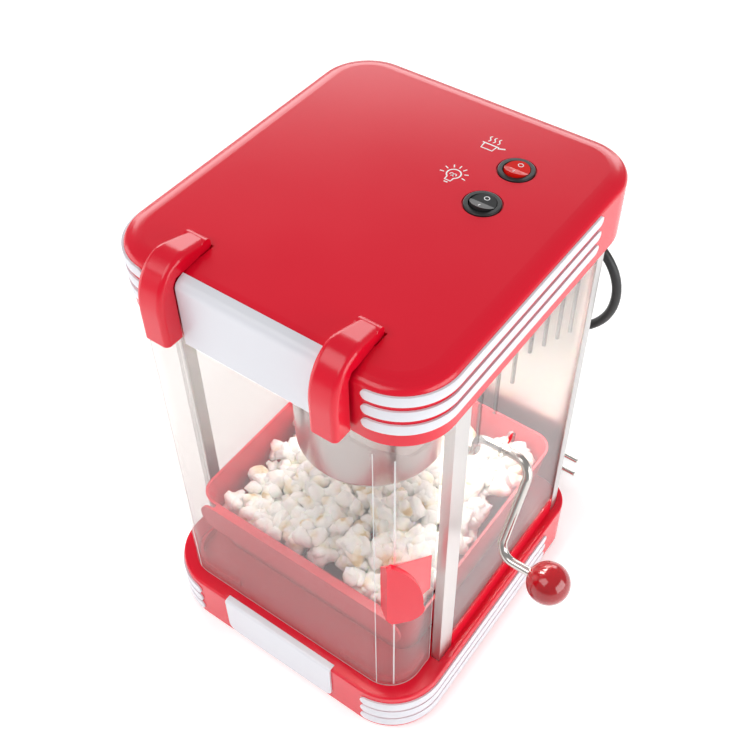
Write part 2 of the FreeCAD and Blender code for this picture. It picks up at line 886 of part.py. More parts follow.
def handle_stem(left, low, high):
    """Wedge behind the paddle's left edge: it widens to the right as it nears the door."""
    deep = 27.0
    plan = [(left, 0.5), (left + 7.0, 0.5), (handle_stem_reach, -21.5),
            (handle_stem_reach - 1.5, -deep), (left, -deep)]
    wire = Part.makePolygon([V(u, low - 15.0, w) for u, w in plan + plan[:1]])
    stem = Part.Face(wire).extrude(V(0, high - low + 15.0, 0))
    top = high - 1.0
    foot = low + 1.5
    side = Part.makePolygon([
        V(-60, top - 0.5 * handle_stem_slope, 0.5), V(-60, foot, 0.5),
        V(-60, foot - handle_stem_fall * deep, -deep), V(-60, top - handle_stem_slope * deep, -deep),
        V(-60, top - 0.5 * handle_stem_slope, 0.5)])
    return stem.common(Part.Face(side).extrude(V(120, 0, 0)))


def door_handle():
    """Handle on the right front corner: a half-round paddle on a wedge-shaped stem."""
    angle = math.radians(handle_angle)
    corner_x = door_half_width - door_corner
    corner_y = door_front + door_corner
    half = handle_width / 2.0
    low = handle_centre_z - handle_height / 2.0
    high = handle_centre_z + handle_height / 2.0
    widest = low + 17.0
    edges = [
        Part.LineSegment(V(-half, high - 3, 0), V(-half, low + 8, 0)).toShape(),
        Part.Arc(V(-half, low + 8, 0), V(-half + 2.6, low + 2.2, 0), V(-half + 9, low, 0)).toShape(),
        Part.LineSegment(V(-half + 9, low, 0), V(half - 9, low, 0)).toShape(),
        Part.Arc(V(half - 9, low, 0), V(half - 2.4, low + 3.6, 0), V(half, widest, 0)).toShape(),
        Part.Arc(V(half, widest, 0), V(half * 0.42, high - 19, 0), V(-half + 3, high, 0)).toShape(),
        Part.LineSegment(V(-half + 3, high, 0), V(-half, high - 3, 0)).toShape(),
    ]
    paddle = Part.Face(Part.Wire(edges)).extrude(V(0, 0, handle_thickness))
    stem = handle_stem(-half, low, high)
    shape = fuse_all([paddle, stem])
    shape.rotate(V(0, 0, 0), V(1, 0, 0), 90)
    shape.rotate(V(0, 0, 0), V(0, 0, 1), handle_angle)
    reach = door_corner + handle_standoff
    shape.translate(V(corner_x + reach * math.sin(angle), corner_y - reach * math.cos(angle), 0))
    width = 2 * door_half_width
    depth = 2 * (door_return_end - door_front)
    outside = plan_prism(width, depth, door_corner, 0, roof_height, door_return_end)
    return shape.cut(outside)


# ---------------------------------------------------------------- kettle hanger

def kettle_hanger():
    """Inverted U of steel strip under the ceiling."""
    y0 = kettle_centre_y - hanger_width / 2.0
    y1 = kettle_centre_y + hanger_width / 2.0
    outer = hanger_inner + hanger_thickness
    bar = block(-outer, outer, y0, y1, frame_top - hanger_thickness, frame_top)
    arm = block(hanger_inner, outer, y0, y1, tilt_height, frame_top)
    eye = cylinder_x(hanger_width / 2.0, hanger_inner, outer, kettle_centre_y, tilt_height)
    side = arm.fuse(eye)
    bore = cylinder_x(bush_radius, hanger_inner - 1, outer + 1, kettle_centre_y, tilt_height)
    return fuse_all([bar] + both_sides(side.cut(bore)))


def kettle_bush():
    """Right bush in the hanger, with a flange on the inner side."""
    outer = hanger_inner + hanger_thickness
    sleeve = cylinder_x(bush_radius, hanger_inner, outer + 0.8, kettle_centre_y, tilt_height)
    flange = cylinder_x(bush_radius + 1.5, hanger_inner - 1.0, hanger_inner,
                        kettle_centre_y, tilt_height)
    bore = cylinder_x(trunnion_radius + pivot_clearance, hanger_inner - 2, outer + 2,
                      kettle_centre_y, tilt_height)
    return fuse_all([sleeve, flange]).cut(bore)


# ---------------------------------------------------------------- kettle

def kettle_disc(radius, z0, z1):
    """Disc on the kettle's axis."""
    return cylinder_z(radius, 0, kettle_centre_y, z0, z1)


def kettle_base():
    """Cup under the pot that holds the heater and the stirrer motor."""
    outer = kettle_disc(kettle_radius, kettle_bottom, kettle_joint)
    edge = [e for e in outer.Edges if abs(e.CenterOfMass.z - kettle_bottom) < 0.1]
    outer = outer.makeFillet(4.0, edge)
    hollow = kettle_disc(kettle_radius - 1.5, kettle_bottom + 1.5, kettle_joint + 1)
    return outer.cut(hollow)


def kettle_pot():
    """Stainless pot with its floor and side bosses."""
    outer = kettle_disc(kettle_radius, kettle_joint, kettle_rim)
    inner = kettle_disc(kettle_radius - kettle_wall, kettle_joint + kettle_wall, kettle_rim + 1)
    shaft_hole = kettle_disc(stirrer_radius + 0.5, kettle_joint - 1, kettle_joint + 5)
    return outer.cut(inner).cut(shaft_hole)


def trunnion(end):
    """Right trunnion: a round flange against the pot and its pin."""
    flange = cylinder_x(9.0, kettle_radius - 5, kettle_radius + 2.5, kettle_centre_y, tilt_height)
    pin = cylinder_x(trunnion_radius, kettle_radius, end, kettle_centre_y, tilt_height)
    outside = kettle_disc(kettle_radius, kettle_joint, kettle_rim)
    return fuse_all([flange, pin]).cut(outside)


def lever_plate():
    """Plate on the right trunnion that carries the crank rod."""
    x0 = hanger_inner + hanger_thickness + 2.0
    x1 = x0 + lever_thickness
    low = tilt_height - lever_drop
    plate = fuse_all([
        block(x0, x1, kettle_centre_y - 7, kettle_centre_y + 7, low, tilt_height),
        cylinder_x(7.0, x0, x1, kettle_centre_y, tilt_height),
        cylinder_x(7.0, x0, x1, kettle_centre_y, low),
    ])
    return plate.cut(cylinder_x(trunnion_radius, x0 - 1, x1 + 1, kettle_centre_y, tilt_height))


def crank_points():
    """Corner points of the crank rod."""
    swing = math.radians(crank_angle)
    low = tilt_height - lever_drop
    start = hanger_inner + hanger_thickness + 2.0 + lever_thickness
    jog = start + crank_jog
    arm_y = kettle_centre_y - crank_arm * math.sin(swing)
    arm_z = tilt_height - crank_arm * math.cos(swing)
    return [
        V(start, kettle_centre_y, low),
        V(jog, kettle_centre_y, low),
        V(jog, kettle_centre_y, tilt_height),
        V(crank_reach, kettle_centre_y, tilt_height),
        V(crank_reach, arm_y, arm_z),
        V(crank_grip, arm_y, arm_z),
    ]


def crank_rod():
    """Bent rod from the lever plate, out through the window and down to the knob."""
    jog_bend = lever_drop * 0.45
    return tube(crank_points(), [jog_bend, jog_bend, crank_bend, crank_bend], rod_radius)


def crank_knob():
    """Ball knob on the end of the crank rod."""
    centre = crank_points()[-1]
    ball = Part.makeSphere(knob_radius, centre)
    return ball.cut(cylinder_x(rod_radius, centre.x - knob_radius - 3, centre.x, centre.y, centre.z))


def kettle_heater():
    """Ring heater under the pot's floor."""
    ring = kettle_disc(heater_radius, kettle_joint - 5.0, kettle_joint)
    return ring.cut(kettle_disc(heater_radius - heater_band, kettle_joint - 6.0, kettle_joint + 1))


def stirrer_motor():
    """Geared motor in the kettle's base."""
    case = kettle_disc(22.0, kettle_bottom + 1.5, kettle_joint - 6.5)
    return case.cut(kettle_disc(stirrer_radius + pivot_clearance, kettle_bottom + 4, kettle_joint))


def stirrer():
    """Shaft with two bent wire arms that sweep the pot's floor."""
    low = kettle_bottom + 4.5
    sweep = kettle_joint + kettle_wall + 4.0
    shaft = kettle_disc(stirrer_radius, low, sweep + 12.0)
    arms = []
    for side in (1, -1):
        points = [
            V(side * 1.0, kettle_centre_y, sweep + 8.0),
            V(side * 14.0, kettle_centre_y, sweep + 8.0),
            V(side * 24.0, kettle_centre_y, sweep),
            V(side * (kettle_radius - stirrer_reach_gap), kettle_centre_y, sweep),
        ]
        arms.append(tube(points, [6.0, 6.0], 1.5))
    return fuse_all([shaft] + arms)


def kettle_bridge():
    """Bar across the pot's rim with the lugs of both lid hinges."""
    bar = block(-kettle_radius, kettle_radius, kettle_centre_y - 6.0, kettle_centre_y + 6.0,
                kettle_rim, kettle_rim + 2.0)
    bar = bar.common(kettle_disc(kettle_radius, kettle_rim, kettle_rim + 2.0))
    lugs = []
    for x in (-36.0, 0.0, 36.0):
        lug = block(x - 2.0, x + 2.0, kettle_centre_y - lid_pin_offset, kettle_centre_y + lid_pin_offset,
                    kettle_rim + 0.5, lid_axis_z() + 2.4)
        lugs.append(lug)
        for y in (-lid_pin_offset, lid_pin_offset):
            lugs.append(cylinder_x(2.4, x - 2.0, x + 2.0, kettle_centre_y + y, lid_axis_z()))
    body = fuse_all([bar] + lugs)
    bores = [cylinder_x(lid_pin_radius, -60, 60, kettle_centre_y + y, lid_axis_z())
             for y in (-lid_pin_offset, lid_pin_offset)]
    return cut_all(body, bores)


def lid_axis_z():
    """Height of the lids' hinge axes."""
    return kettle_rim + lid_gap + lid_knuckle_radius


def lid_pins():
    """The two hinge pins of the lids."""
    return [cylinder_x(lid_pin_radius, -38.0, 38.0, kettle_centre_y + y, lid_axis_z())
            for y in (-lid_pin_offset, lid_pin_offset)]


def rear_lid():
    """Rear half lid with its two knuckles."""
    z0 = kettle_rim + lid_gap
    disc = kettle_disc(kettle_radius, z0, z0 + lid_thickness)
    half = disc.common(block(-kettle_radius, kettle_radius, kettle_centre_y + lid_pin_offset,
                             kettle_centre_y + kettle_radius, z0 - 1, z0 + 5))
    knuckles = []
    for x0, x1 in ((-33.0, -3.0), (3.0, 33.0)):
        knuckles.append(cylinder_x(lid_knuckle_radius, x0, x1,
                                   kettle_centre_y + lid_pin_offset, lid_axis_z()))
    bore = cylinder_x(lid_pin_radius + pivot_clearance, -60, 60,
                      kettle_centre_y + lid_pin_offset, lid_axis_z())
    notches = [block(x - 2.6, x + 2.6, kettle_centre_y, kettle_centre_y + lid_pin_offset + 3.0,
                     z0 - 1, z0 + 5) for x in (-36.0, 0.0, 36.0)]
    return cut_all(fuse_all([half] + knuckles), [bore] + notches)


def front_lid():
    """Front half lid: the rear one turned about the kettle's axis."""
    lid = rear_lid()
    lid.rotate(V(0, kettle_centre_y, 0), V(0, 0, 1), 180)
    return lid


# ---------------------------------------------------------------- tray

def tray():
    """Popcorn tray with drafted walls and a broad front lip."""
    depth = tray_rear - tray_front
    centre = (tray_rear + tray_front) / 2.0
    width = 2 * tray_half_width

    def loft(inset, z0, z1):
        low = plan_wire(width - 2 * (inset + tray_draft), depth - 2 * (inset + tray_draft),
                        tray_corner - inset, z0, centre)
        high = plan_wire(width - 2 * inset, depth - 2 * inset, tray_corner - inset, z1, centre)
        return Part.makeLoft([low, high], True, True)

    shell = loft(0.0, floor_seat, tray_rim).cut(loft(tray_wall, floor_seat + tray_wall, tray_rim + 0.01))
    lip_front = tray_front - tray_lip_standoff
    low = tray_rim - tray_lip_height
    radius = tray_lip_height / 2.0
    lip = fuse_all([
        block(-tray_lip_half + radius, tray_lip_half - radius, lip_front,
              lip_front + tray_wall, low, tray_rim),
        cylinder_y(radius, -tray_lip_half + radius, lip_front, lip_front + tray_wall, low + radius),
        cylinder_y(radius, tray_lip_half - radius, lip_front, lip_front + tray_wall, low + radius),
    ])
    web = block(-tray_lip_half + radius, tray_lip_half - radius, lip_front,
                tray_front + 0.5, tray_rim - tray_wall, tray_rim)
    return fuse_all([shell, lip, web])


# ---------------------------------------------------------------- switches

def switch_body(y):
    """Round switch: flange, barrel and two blade terminals."""
    seat = roof_height - switch_recess
    flange = cylinder_z(bezel_radius, switch_x, y, seat, seat + bezel_flange)
    edge = [e for e in flange.Edges if abs(e.CenterOfMass.z - seat - bezel_flange) < 0.1]
    flange = flange.makeFillet(0.8, edge)
    barrel = cylinder_z(barrel_radius, switch_x, y, seat - barrel_depth, seat)
    body = flange.fuse(barrel)
    well = cylinder_z(rocker_hole_radius, switch_x, y, seat - 8.5, seat + bezel_flange + 1)
    blades = [block(switch_x - 3.0, switch_x + 3.0, y + d - 0.4, y + d + 0.4,
                    seat - barrel_depth - 7.0, seat - barrel_depth + 0.2) for d in (-4.0, 4.0)]
    pins = cylinder_x(1.05, switch_x - 9.6, switch_x + 9.6, y, rocker_axis_z())
    return fuse_all([body.cut(well)] + blades).cut(pins)


def rocker_axis_z():
    """Height of the rockers' pivots."""
    return roof_height - switch_recess - 1.5


def rocker(y):
    """Round rocker with two dished faces, resting with its rear face down."""
    axis = rocker_axis_z()
    edge = roof_height - switch_recess + bezel_flange + 1.3
    dip = edge - 1.9
    side = block(switch_x - 20, switch_x + 20, y - 20, y + 20, axis - 4.0, edge + 5)
    body = cylinder_z(rocker_radius, switch_x, y, axis - 4.0, edge).common(side)
    above = profile_x([(y - 20, edge + 5), (y - 20, edge + 2.0), (y - rocker_radius, edge), (y, dip),
                       (y + rocker_radius, edge), (y + 20, edge + 2.0), (y + 20, edge + 5)],
                      switch_x - 20, switch_x + 20)
    body = body.cut(above)
    pins = cylinder_x(1.0, switch_x - 9.5, switch_x + 9.5, y, axis)
    body = fuse_all([body, pins])
    body.rotate(V(switch_x, y, axis), V(1, 0, 0), -rocker_tilt)
    return body


# ---------------------------------------------------------------- inside the housing

def lamp_holder():
    """Lamp holder on the ceiling plate."""
    flange = cylinder_z(18.0, 0, 60, frame_top + 1.0, frame_top + 3.0)
    socket = cylinder_z(13.0, 0, 60, frame_top - 8.0, frame_top + 14.0)
    return fuse_all([flange, socket]).cut(cylinder_z(8.0, 0, 60, frame_top - 9.0, frame_top + 8.0))


def lamp_bulb():
    """Small bulb screwed into the holder."""
    cap = cylinder_z(8.0, 0, 60, frame_top - 9.0, frame_top + 6.0)
    glass = Part.makeSphere(12.0, V(0, 60, frame_top - 19.0))
    return fuse_all([cap, glass])


def terminal_block():
    """Wiring block on the ceiling plate."""
    body = block(-40, 0, -80, -62, frame_top + 1.0, frame_top + 13.0)
    holes = [cylinder_y(2.2, -36 + 8 * i, -81, -61, frame_top + 7.0) for i in range(5)]
    return cut_all(body, holes)


# ---------------------------------------------------------------- power cord

def strain_relief():
    """Angled strain relief: a root through the back panel and a tapered sleeve along X."""
    x = relief_start.x
    z = relief_start.z
    root = cylinder_y(4.0, x, back_face - steel_thickness - 2.0, back_face, z)
    flange = cylinder_y(7.0, x, back_face - steel_thickness - 3.0, back_face - steel_thickness, z)
    collar = cylinder_y(7.5, x, back_face, relief_start.y + 5.0, z)
    sleeve = Part.makeCone(6.8, cord_radius + 1.0, relief_length, relief_start, V(1, 0, 0))
    return fuse_all([root, flange, collar, sleeve])


def cord_coil():
    """Outer shape of the tied coil on the table."""
    outer = coil_radius + coil_turn_gap
    inner = coil_radius - coil_turn_gap
    height = cord_radius * 4.0 + 0.4
    ring = cylinder_z(outer, coil_centre.x, coil_centre.y, 0, height)
    return ring.cut(cylinder_z(inner, coil_centre.x, coil_centre.y, -1, height + 1))


def cord_tie():
    """Tie round the coil, on its far side."""
    height = cord_radius * 4.0 + 0.4
    y0 = coil_centre.y + coil_radius - coil_turn_gap - 1.2
    y1 = coil_centre.y + coil_radius + coil_turn_gap + 1.2
    x0 = coil_centre.x - 3.0
    x1 = coil_centre.x + 3.0
    outer = block(x0, x1, y0, y1, 0, height + 1.2)
    return outer.cut(cord_coil())


def plug_body():
    """Flat two-pin plug standing on its narrow edge, with a tapered rear."""
    x1 = plug_face.x
    x0 = x1 - plug_length
    half_y = plug_width / 2.0
    half_z = plug_height / 2.0
    z = plug_face.z
    front = Part.makePolygon([
        V(x1, plug_face.y - half_y, z - half_z), V(x1, plug_face.y + half_y, z - half_z),
        V(x1, plug_face.y + half_y, z + half_z), V(x1, plug_face.y - half_y, z + half_z),
        V(x1, plug_face.y - half_y, z - half_z)])
    rear = Part.makePolygon([
        V(x0, plug_face.y - 6, z - 7), V(x0, plug_face.y + 6, z - 7),
        V(x0, plug_face.y + 6, z + 7), V(x0, plug_face.y - 6, z + 7),
        V(x0, plug_face.y - 6, z - 7)])
    body = Part.makeLoft([rear, front], True, True)
    tail = Part.makeCone(cord_radius + 0.8, 6.0, x0 - tail_points[-1].x, tail_points[-1], V(1, 0, 0))
    holes = [cylinder_x(pin_root_radius, x1 - 10, x1 + 1, plug_face.y, z + s * pin_spacing / 2.0)
             for s in (-1, 1)]
    return cut_all(fuse_all([body, tail]), holes)


def plug_pins():
    """Two round pins with domed tips."""
    pins = []
    for s in (-1, 1):
        z = plug_face.z + s * pin_spacing / 2.0
        end = plug_face.x + pin_length - pin_radius
        root = cylinder_x(pin_root_radius, plug_face.x - 10, plug_face.x, plug_face.y, z)
        shaft = cylinder_x(pin_radius, plug_face.x, end, plug_face.y, z)
        tip = Part.makeSphere(pin_radius, V(end, plug_face.y, z))
        pins.append(fuse_all([root, shaft, tip]))
    return pins


def report_cord(name, points, solid):
    """Print a cord's radii and compare its volume with section times length."""
    radii = cord_radii(points)
    length = path_wire(points, radii).Length
    section = math.pi * cord_radius ** 2
    print(name, "length %.0f" % length, "radii", ["%.0f" % r for r in radii],
          "volume ratio %.4f" % (solid.Volume / (section * length)))


def main():
    """Build and export every node."""
    os.makedirs("parts", exist_ok=True)
    lead = tube(lead_points, cord_radii(lead_points), cord_radius)
    tail = tube(tail_points, cord_radii(tail_points), cord_radius)
    report_cord("lead", lead_points, lead)
    report_cord("tail", tail_points, tail)
    nodes = {
        "base": [base()],
        "window_rails": right_and_left(window_rails()),
        "door_rim": door_rim(),
        "base_cover": [base_cover()],
        "feet": feet(),
        "base_screws": screws_up(),
        "base_ribs_right": base_ribs(),
        "base_ribs_left": [mirror_x(r) for r in base_ribs()],
        "base_front_panel": [base_insert()],
        "front_post_right": [front_post()],
        "front_post_left": [mirror_x(front_post())],
        "back_panel": [back_panel()],
        "window_right": [window(True)],
        "window_left": [mirror_x(window(False))],
        "top_housing": [top_housing()],
        "top_frame": [top_frame()],
        "ceiling_plate": [ceiling_plate()],
        "ceiling_screws": screws_down(top_frame_screws(), frame_top + 1.0, 3.0),
        "housing_ribs_right": housing_ribs(),
        "housing_ribs_left": [mirror_x(r) for r in housing_ribs()],
        "housing_front_panel": [housing_insert()],
        "kettle_hanger": [kettle_hanger()],
        "kettle_bushes": both_sides(kettle_bush()),
        "kettle_pot": [kettle_pot()],
        "kettle_base": [kettle_base()],
        "kettle_heater": [kettle_heater()],
        "stirrer_motor": [stirrer_motor()],
        "stirrer": [stirrer()],
        "kettle_bridge": [kettle_bridge()],
        "lid_pins": lid_pins(),
        "lid_rear": [rear_lid()],
        "lid_front": [front_lid()],
        "trunnion_left": [mirror_x(trunnion(hanger_inner + hanger_thickness + 1.6))],
        "trunnion_right": [trunnion(hanger_inner + hanger_thickness + 2.0 + lever_thickness)],
        "crank_lever": [lever_plate()],
        "crank_rod": [crank_rod()],
        "crank_knob": [crank_knob()],
        "door_shell": [door_shell()],
        "door_arm_right": [door_arm()],
        "door_arm_left": [mirror_x(door_arm())],
        "door_screws": door_screws(),
        "door_hinge_pins": both_sides(hinge_pin()),
        "door_handle": [door_handle()],
        "popcorn_tray": [tray()],
        "switch_body_popping": [switch_body(switch_rows["popping"])],
        "switch_body_light": [switch_body(switch_rows["light"])],
        "rocker_popping": [rocker(switch_rows["popping"])],
        "rocker_light": [rocker(switch_rows["light"])],
        "lamp_holder": [lamp_holder()],
        "lamp_bulb": [lamp_bulb()],
        "terminal_block": [terminal_block()],
        "strain_relief": [strain_relief()],
        "power_cord": [lead],
        "cord_coil": [cord_coil()],
        "cord_tie": [cord_tie()],
        "cord_tail": [tail],
        "plug_body": [plug_body()],
        "plug_pins": plug_pins(),
    }
    for node, solids in nodes.items():
        export(node, solids)
    print(len(nodes), "nodes")


def screws_up():
    """Screws from below through the cover into the base's bosses."""
    screws = []
    under = skirt_bottom + 0.5
    for x, y in base_places(foot_inset + 14):
        head = cylinder_z(screw_head_radius, x, y, under - screw_head_height, under)
        shank = cylinder_z(screw_radius, x, y, under, under + 12.0)
        screws.append(head.fuse(shank).removeSplitter())
    return screws


main()
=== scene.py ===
import math

import bmesh
import bpy
import numpy as np
from mathutils import Matrix, Vector


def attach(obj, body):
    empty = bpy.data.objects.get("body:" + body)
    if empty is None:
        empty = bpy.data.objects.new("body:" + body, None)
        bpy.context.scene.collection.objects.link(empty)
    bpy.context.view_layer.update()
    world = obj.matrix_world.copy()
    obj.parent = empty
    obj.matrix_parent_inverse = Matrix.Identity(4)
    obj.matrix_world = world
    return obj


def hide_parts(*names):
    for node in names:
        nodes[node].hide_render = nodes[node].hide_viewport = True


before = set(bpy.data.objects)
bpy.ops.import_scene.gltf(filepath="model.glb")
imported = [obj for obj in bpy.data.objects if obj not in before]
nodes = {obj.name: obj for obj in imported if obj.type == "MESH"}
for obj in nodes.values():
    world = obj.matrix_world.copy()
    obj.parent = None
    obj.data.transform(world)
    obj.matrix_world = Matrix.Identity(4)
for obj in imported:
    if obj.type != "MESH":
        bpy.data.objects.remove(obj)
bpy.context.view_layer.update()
MM = 0.001

# Places on the designed pieces that the added marks and edges line up with, in millimetres.
ROOF_TOP = 377.5
PRINT_LIFT = 0.06
ROCKER_X = 54.0
ROCKER_PIVOT = 374.8
ROCKER_DIP = 377.7
ROCKER_RISE = 1.9
ROCKER_HALF = 8.3
ROCKER_TIP = -8.0
SLOT_COUNT = 7
SLOT_MIDDLE = 1.0
SLOT_PITCH = 19.4
SLOT_TOP = 321.96
SLOT_LOW = 305.04
SLOT_STEP = 10.2
SLOT_HALF = 1.06
CRANK_HOLE = (-15.0, 229.7)
CRANK_HOLE_RADIUS = 9.74
DOOR_HALF = 105.75
DOOR_CORNER = 26.0
DOOR_CORNER_Y = -105.0
DOOR_END = -90.6
DOOR_SKIN = 0.05


# ---------------------------------------------------------------- camera and light

def place_camera(position, yaw, pitch, roll, lens):
    """Camera that looks along the heading yaw, tipped down by pitch and rolled about its view."""
    forward = Vector((-math.sin(yaw) * math.cos(pitch), math.cos(yaw) * math.cos(pitch), -math.sin(pitch)))
    level = Vector((math.cos(yaw), math.sin(yaw), 0.0))
    upright = level.cross(forward)
    right = level * math.cos(roll) + upright * math.sin(roll)
    up = upright * math.cos(roll) - level * math.sin(roll)
    data = bpy.data.cameras.new("camera")
    data.sensor_width = 36.0
    data.lens = lens
    data.clip_end = 20.0
    camera = bpy.data.objects.new("camera", data)
    bpy.context.scene.collection.objects.link(camera)
    turn = Matrix((right, up, -forward)).transposed().to_4x4()
    camera.matrix_world = Matrix.Translation(Vector(position)) @ turn
    bpy.context.scene.camera = camera


def soft_light(name, place, target, size, power, colour=(1.0, 1.0, 1.0)):
    """Rectangular area light aimed at a point."""
    data = bpy.data.lights.new(name, "AREA")
    data.shape = "RECTANGLE"
    data.size, data.size_y = size
    data.energy = power
    data.color = colour
    light = bpy.data.objects.new(name, data)
    bpy.context.scene.collection.objects.link(light)
    light.location = place
    aim = Vector(target) - Vector(place)
    light.rotation_euler = aim.to_track_quat("-Z", "Y").to_euler()


place_camera(position=(0.30294, -0.42204, 0.78987), yaw=0.634513, pitch=0.836437,
             roll=-0.0146715, lens=51.63)
soft_light("rear_panel", (-1.35, 1.9, 1.15), (0.0, 0.0, 0.35), (3.4, 1.1), 41.0)
soft_light("top_panel", (-0.4, -1.1, 1.7), (0.0, 0.0, 0.2), (1.5, 1.1), 15.0)
soft_light("left_panel", (-1.6, -0.9, 0.55), (0.0, 0.0, 0.15), (1.4, 1.0), 9.0)
soft_light("right_panel", (1.7, 0.1, 0.6), (0.0, 0.0, 0.15), (1.6, 1.0), 19.0)
soft_light("cabinet_lamp", (0.0, 0.015, 0.326), (0.0, -0.01, 0.0), (0.15, 0.13), 1.8,
           colour=(1.0, 0.97, 0.94))
world = bpy.data.worlds.new("studio")
bpy.context.scene.world = world
world.use_nodes = True
world.node_tree.nodes["Background"].inputs[0].default_value = (1.0, 1.0, 1.0, 1.0)
world.node_tree.nodes["Background"].inputs[1].default_value = 0.36
bpy.context.scene.view_settings.view_transform = "Standard"


# ---------------------------------------------------------------- shader arithmetic

class Amount:
    """A number that varies over a surface, used in ordinary arithmetic."""

    def __init__(self, finish, socket):
        self.finish = finish
        self.socket = socket

    def __add__(self, other):
        return self.finish.maths("ADD", self, other)

    __radd__ = __add__

    def __mul__(self, other):
        return self.finish.maths("MULTIPLY", self, other)

    __rmul__ = __mul__

    def __sub__(self, other):
        return self.finish.maths("SUBTRACT", self, other)

    def __pow__(self, other):
        return self.finish.maths("POWER", self, other)


class Finish:
    """A material built round one Principled shader."""

    def __init__(self, name, **constants):
        self.material = bpy.data.materials.new(name)
        self.material.use_nodes = True
        self.tree = self.material.node_tree
        self.shader = self.tree.nodes["Principled BSDF"]
        self.output = self.tree.nodes["Material Output"]
        for key, value in constants.items():
            self.shader.inputs[key.replace("_", " ")].default_value = value

    def node(self, kind, settings=None, out=0, **inputs):
        """Any shader node: its settings first, then its sockets' values or links."""
        made = self.tree.nodes.new(kind)
        for key, value in (settings or {}).items():
            if key == "stops":
                ramp = made.color_ramp
                while len(ramp.elements) < len(value):
                    ramp.elements.new(0.5)
                for element, (place, colour) in zip(ramp.elements, value):
                    element.position = place
                    element.color = colour
            else:
                setattr(made, key, value)
        for key, value in inputs.items():
            socket = made.inputs[int(key[1:])] if key[1:].isdigit() else made.inputs[key.replace("_", " ")]
            if isinstance(value, Amount):
                self.tree.links.new(value.socket, socket)
            else:
                socket.default_value = value
        return Amount(self, made.outputs[out])

    def maths(self, operation, a, b):
        """One Math node on two numbers or links."""
        return self.node("ShaderNodeMath", {"operation": operation}, s0=a, s1=b)

    def place(self):
        """Position on the object, in metres."""
        return self.node("ShaderNodeTexCoord", out=3)

    def stretched(self, x, y, z):
        """Position with each axis scaled by its own factor."""
        return self.node("ShaderNodeMapping", s0=self.place(), Scale=(x, y, z))

    def noise(self, where, scale, detail=3.0, roughness=0.55):
        """Fractal noise from 0 to 1."""
        return self.node("ShaderNodeTexNoise", Vector=where, Scale=scale, Detail=detail, Roughness=roughness)

    def blend(self, amount, a, b):
        """Colour a where amount is 0 and b where it is 1."""
        return self.node("ShaderNodeMix", {"data_type": "RGBA"}, out=2, s0=amount, s6=a, s7=b)

    def ramp(self, amount, *stops):
        """Colour or grey picked along stops of (place, colour)."""
        return self.node("ShaderNodeValToRGB", {"stops": stops}, Fac=amount)

    def bump(self, height, strength, distance=0.001):
        """Normal tilted by a height pattern."""
        return self.node("ShaderNodeBump", Height=height, Strength=strength, Distance=distance)

    def feed(self, **links):
        """Link patterns to the shader's sockets."""
        for key, value in links.items():
            self.tree.links.new(value.socket, self.shader.inputs[key.replace("_", " ")])

    def through(self, amount, tint):
        """Mix the shader with clear see-through, by amount of shader."""
        clear = self.tree.nodes.new("ShaderNodeBsdfTransparent")
        clear.inputs[0].default_value = tint
        mix = self.tree.nodes.new("ShaderNodeMixShader")
        self.tree.links.new(amount.socket, mix.inputs[0])
        self.tree.links.new(clear.outputs[0], mix.inputs[1])
        self.tree.links.new(self.shader.outputs[0], mix.inputs[2])
        self.tree.links.new(mix.outputs[0], self.output.inputs[0])


def moulded(name, colour, roughness, darker=0.9, coat=0.0):
    """Injection-moulded plastic: faint flow marks, an orange-peel skin and uneven gloss."""
    f = Finish(name, IOR=1.5, Coat_Weight=coat, Coat_Roughness=0.06)
    cloud = f.noise(f.place(), 14.0, 2.0)
    grain = f.noise(f.place(), 900.0, 2.0)
    dark = tuple(c * darker for c in colour[:3]) + (1.0,)
    f.feed(Base_Color=f.blend(cloud, dark, colour),
           Roughness=cloud * 0.06 + roughness - 0.03 + grain * 0.03,
           Normal=f.bump(f.noise(f.place(), 260.0, 1.0), 0.05, 0.0004))
    return f.material


def brushed(name, colour, roughness, along):
    """Stainless sheet brushed along one axis: streaks in gloss and height."""
    f = Finish(name, Metallic=1.0)
    scale = [900.0, 900.0, 900.0]
    scale["xyz".index(along)] = 14.0
    streak = f.noise(f.stretched(*scale), 1.0, 4.0, 0.7)
    smear = f.noise(f.place(), 18.0, 3.0)
    f.feed(Base_Color=f.blend(streak, tuple(c * 0.86 for c in colour[:3]) + (1.0,), colour),
           Roughness=streak * 0.16 + smear * 0.08 + roughness - 0.1,
           Normal=f.bump(streak, 0.12, 0.0003))
    return f.material


def polished(name, colour, roughness):
    """Bright metal with faint smudges and fine scratches."""
    f = Finish(name, Metallic=1.0)
    smear = f.noise(f.place(), 30.0, 4.0)
    f.feed(Base_Color=f.blend(smear, tuple(c * 0.93 for c in colour[:3]) + (1.0,), colour),
           Roughness=smear * 0.14 + roughness - 0.05,
           Normal=f.bump(f.noise(f.stretched(60.0, 60.0, 900.0), 1.0, 3.0), 0.04, 0.0003))
    return f.material


def clear_sheet(name, tint, least, most):
    """Clear plastic: mostly see-through, with reflections that grow towards grazing angles."""
    f = Finish(name, Base_Color=(0.9, 0.92, 0.93, 1.0), IOR=1.49, Roughness=0.05)
    facing = f.node("ShaderNodeLayerWeight", {}, 1, Blend=0.35)
    scuff = f.noise(f.place(), 55.0, 4.0)
    f.feed(Roughness=scuff * 0.08 + 0.02,
           Normal=f.bump(f.noise(f.place(), 22.0, 1.0), 0.03, 0.002))
    f.through(facing ** 2.0 * (most - least) + least + scuff * 0.015, tint)
    return f.material


